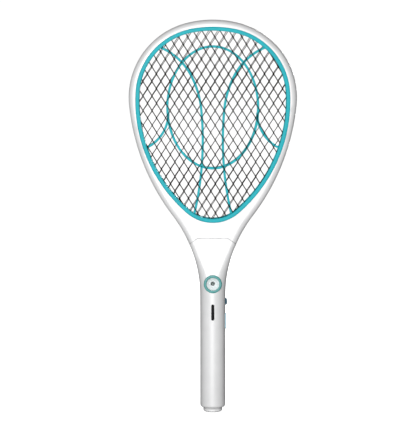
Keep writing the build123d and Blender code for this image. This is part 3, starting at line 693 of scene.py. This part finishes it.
def switch_knob():
    """Domed thumb knob with three finger grooves, on the stem and guide plate of the slide switch."""
    foot_radius = HANDLE_RADIUS + 0.45

    def base(u, v, y):
        return (foot_radius ** 2 - y ** 2) ** 0.5

    def top(u, v, y):
        dome = (1 - abs(u) ** 3.2) ** 0.5 * (1 - abs(v) ** 4) ** 0.5
        groove = sum(0.16 * max(0.0, 1 - ((u - middle) / 0.09) ** 2) for middle in (-0.38, 0.0, 0.38))
        low = base(u, v, y) + 0.05
        return low + (KNOB_FACE_X - low) * dome - groove * dome

    stem = plate(12.0, 15.9, -1.3, 1.3, KNOB_Z - 2.2, KNOB_Z + 2.2)
    guide = plate(12.2, 12.4, -3.6, 3.6, KNOB_Z - 6.6, KNOB_Z + 6.6)
    return joined([cushion(KNOB_Z, KNOB_LENGTH / 2, TRIGGER_HALF_WIDTH, top, base), stem, guide])


def press_bar():
    """Long press bar that follows the grip's curve, with its retaining flange."""
    def base(u, v, y):
        return 11.9

    def top(u, v, y):
        edge = min(1.0, (1 - abs(u)) / 0.07)
        side = (1 - abs(v) ** 8) ** 0.5
        proud = (TRIGGER_RADIUS ** 2 - y ** 2) ** 0.5
        ripple = 0.05 * (1 - cos(u * 9 * pi)) * (1 - u * u)
        return proud - 0.9 * (1 - edge ** 0.5) - 0.7 * (1 - side) - ripple

    flange = plate(10.6, 12.0, -4.4, 4.4, TRIGGER_Z - 11.2, TRIGGER_Z + 11.2)
    return joined([cushion(TRIGGER_Z, TRIGGER_LENGTH / 2, TRIGGER_HALF_WIDTH, top, base), flange])


finished(new_object("thumb_knob", *switch_knob()), "slide_knob", "knob_dark_teal", KNOB_BLUE,
         "switch_knob")
finished(new_object("press_bar_cap", *press_bar()), "press_bar", "trigger_blue", TRIGGER_BLUE,
         "trigger_button")


# ---- end cap ------------------------------------------------------------------------------------
def end_cap():
    """Pull-off cup with a domed foot, a rounded rim and a fine grip groove."""
    profile = [(0.0, 0.0)]
    for radius in (2.0, 4.0, 6.0, 8.0, 9.6):
        profile.append((radius, radius * radius / 180.0))
    profile += [(CAP_RADIUS - 0.9, 0.95), (CAP_RADIUS - 0.35, 1.35), (CAP_RADIUS - 0.05, 1.95),
                (CAP_RADIUS, 2.6)]
    groove = CAP_RADIUS - 0.22
    profile += [(CAP_RADIUS, 3.3), (groove, 3.5), (groove, 3.8), (CAP_RADIUS, 4.0)]
    bore = CAP_RADIUS - CAP_WALL
    profile += [(CAP_RADIUS, CAP_TOP_Z - 0.3), (CAP_RADIUS - 0.3, CAP_TOP_Z), (bore, CAP_TOP_Z),
                (bore, CAP_FLOOR_Z), (0.0, CAP_FLOOR_Z)]
    return lathe(profile, (0.0, 0.0), "z", 96)


finished(new_object("pull_off_cap", *end_cap(), smooth_angle=50.0), "end_cap", "body_white", WHITE,
         "plug_cover")


# ---- stage, light and camera --------------------------------------------------------------------
# Camera and lights are in metres, the floor in millimetres.
CAMERA_PLACE = (-0.004, -2.29, 0.47)
VIEW_CENTRE = (-0.004, 0.0, 0.24245)
VIEW_HEIGHT = 0.5236
SENSOR_WIDTH = 36.0           # Blender's own, in millimetres
OBJECT_MIDDLE = (0.0, 0.0, 0.27)
FLOOR_Z = -0.05
FLOOR_CORNERS = [(-6000, -4000), (6000, -4000), (6000, 8000), (-6000, 8000)]


def aim(thing, target):
    direction = Vector(target) - thing.location
    thing.rotation_euler = direction.to_track_quat("-Z", "Y").to_euler()


def softbox(name, place, target, width, height, power):
    """White rectangular light of a size in metres and a power in watts."""
    light = bpy.data.lights.new(name, "AREA")
    light.shape = "RECTANGLE"
    light.size = width
    light.size_y = height
    light.energy = power
    thing = bpy.data.objects.new(name, light)
    thing.location = place
    bpy.context.scene.collection.objects.link(thing)
    aim(thing, target)


def build_stage():
    """Floor wide enough to meet the white surroundings far behind the object."""
    floor = new_object("floor", [(x, y, FLOOR_Z) for x, y in FLOOR_CORNERS], [(0, 1, 2, 3)])
    finish = moulded("pale_floor", (0.50, 0.50, 0.50), (0.53, 0.53, 0.53), 0.7, 0.8, blotch=3.0,
                     specular=0.2)
    shader = finish.node_tree.nodes["Principled BSDF"]
    shader.inputs["Emission Color"].default_value = (1.0, 1.0, 1.0, 1.0)
    shader.inputs["Emission Strength"].default_value = 1.0
    floor.data.materials.append(finish)
    floor.visible_diffuse = False
    floor.visible_glossy = False


def build_world():
    """White to the camera and dim to the object, so that its edges stay darker than the background."""
    world = bpy.data.worlds.new("studio")
    bpy.context.scene.world = world
    world.use_nodes = True
    nodes = world.node_tree.nodes
    links = world.node_tree.links
    background = nodes["Background"]
    path = nodes.new("ShaderNodeLightPath")
    strength = nodes.new("ShaderNodeMapRange")
    strength.inputs["To Min"].default_value = 0.09
    strength.inputs["To Max"].default_value = 1.03
    links.new(path.outputs["Is Camera Ray"], strength.inputs["Value"])
    links.new(strength.outputs["Result"], background.inputs["Strength"])
    background.inputs["Color"].default_value = (1.0, 1.0, 1.0, 1.0)


def build_camera():
    data = bpy.data.cameras.new("camera")
    camera = bpy.data.objects.new("camera", data)
    camera.location = CAMERA_PLACE
    aim(camera, VIEW_CENTRE)
    data.lens = SENSOR_WIDTH * (camera.location - Vector(VIEW_CENTRE)).length / VIEW_HEIGHT
    bpy.context.scene.collection.objects.link(camera)
    bpy.context.scene.camera = camera


build_stage()
build_world()
build_camera()
softbox("key", (-0.20, -1.6, 0.46), OBJECT_MIDDLE, 0.4, 0.9, 24.0)
softbox("low_fill", (0.0, -0.9, 0.04), (0.0, 0.0, 0.42), 0.5, 0.06, 1.2)
softbox("back_key", (0.35, 1.6, 0.55), OBJECT_MIDDLE, 0.4, 0.9, 18.0)
bpy.context.scene.view_settings.view_transform = "Standard"
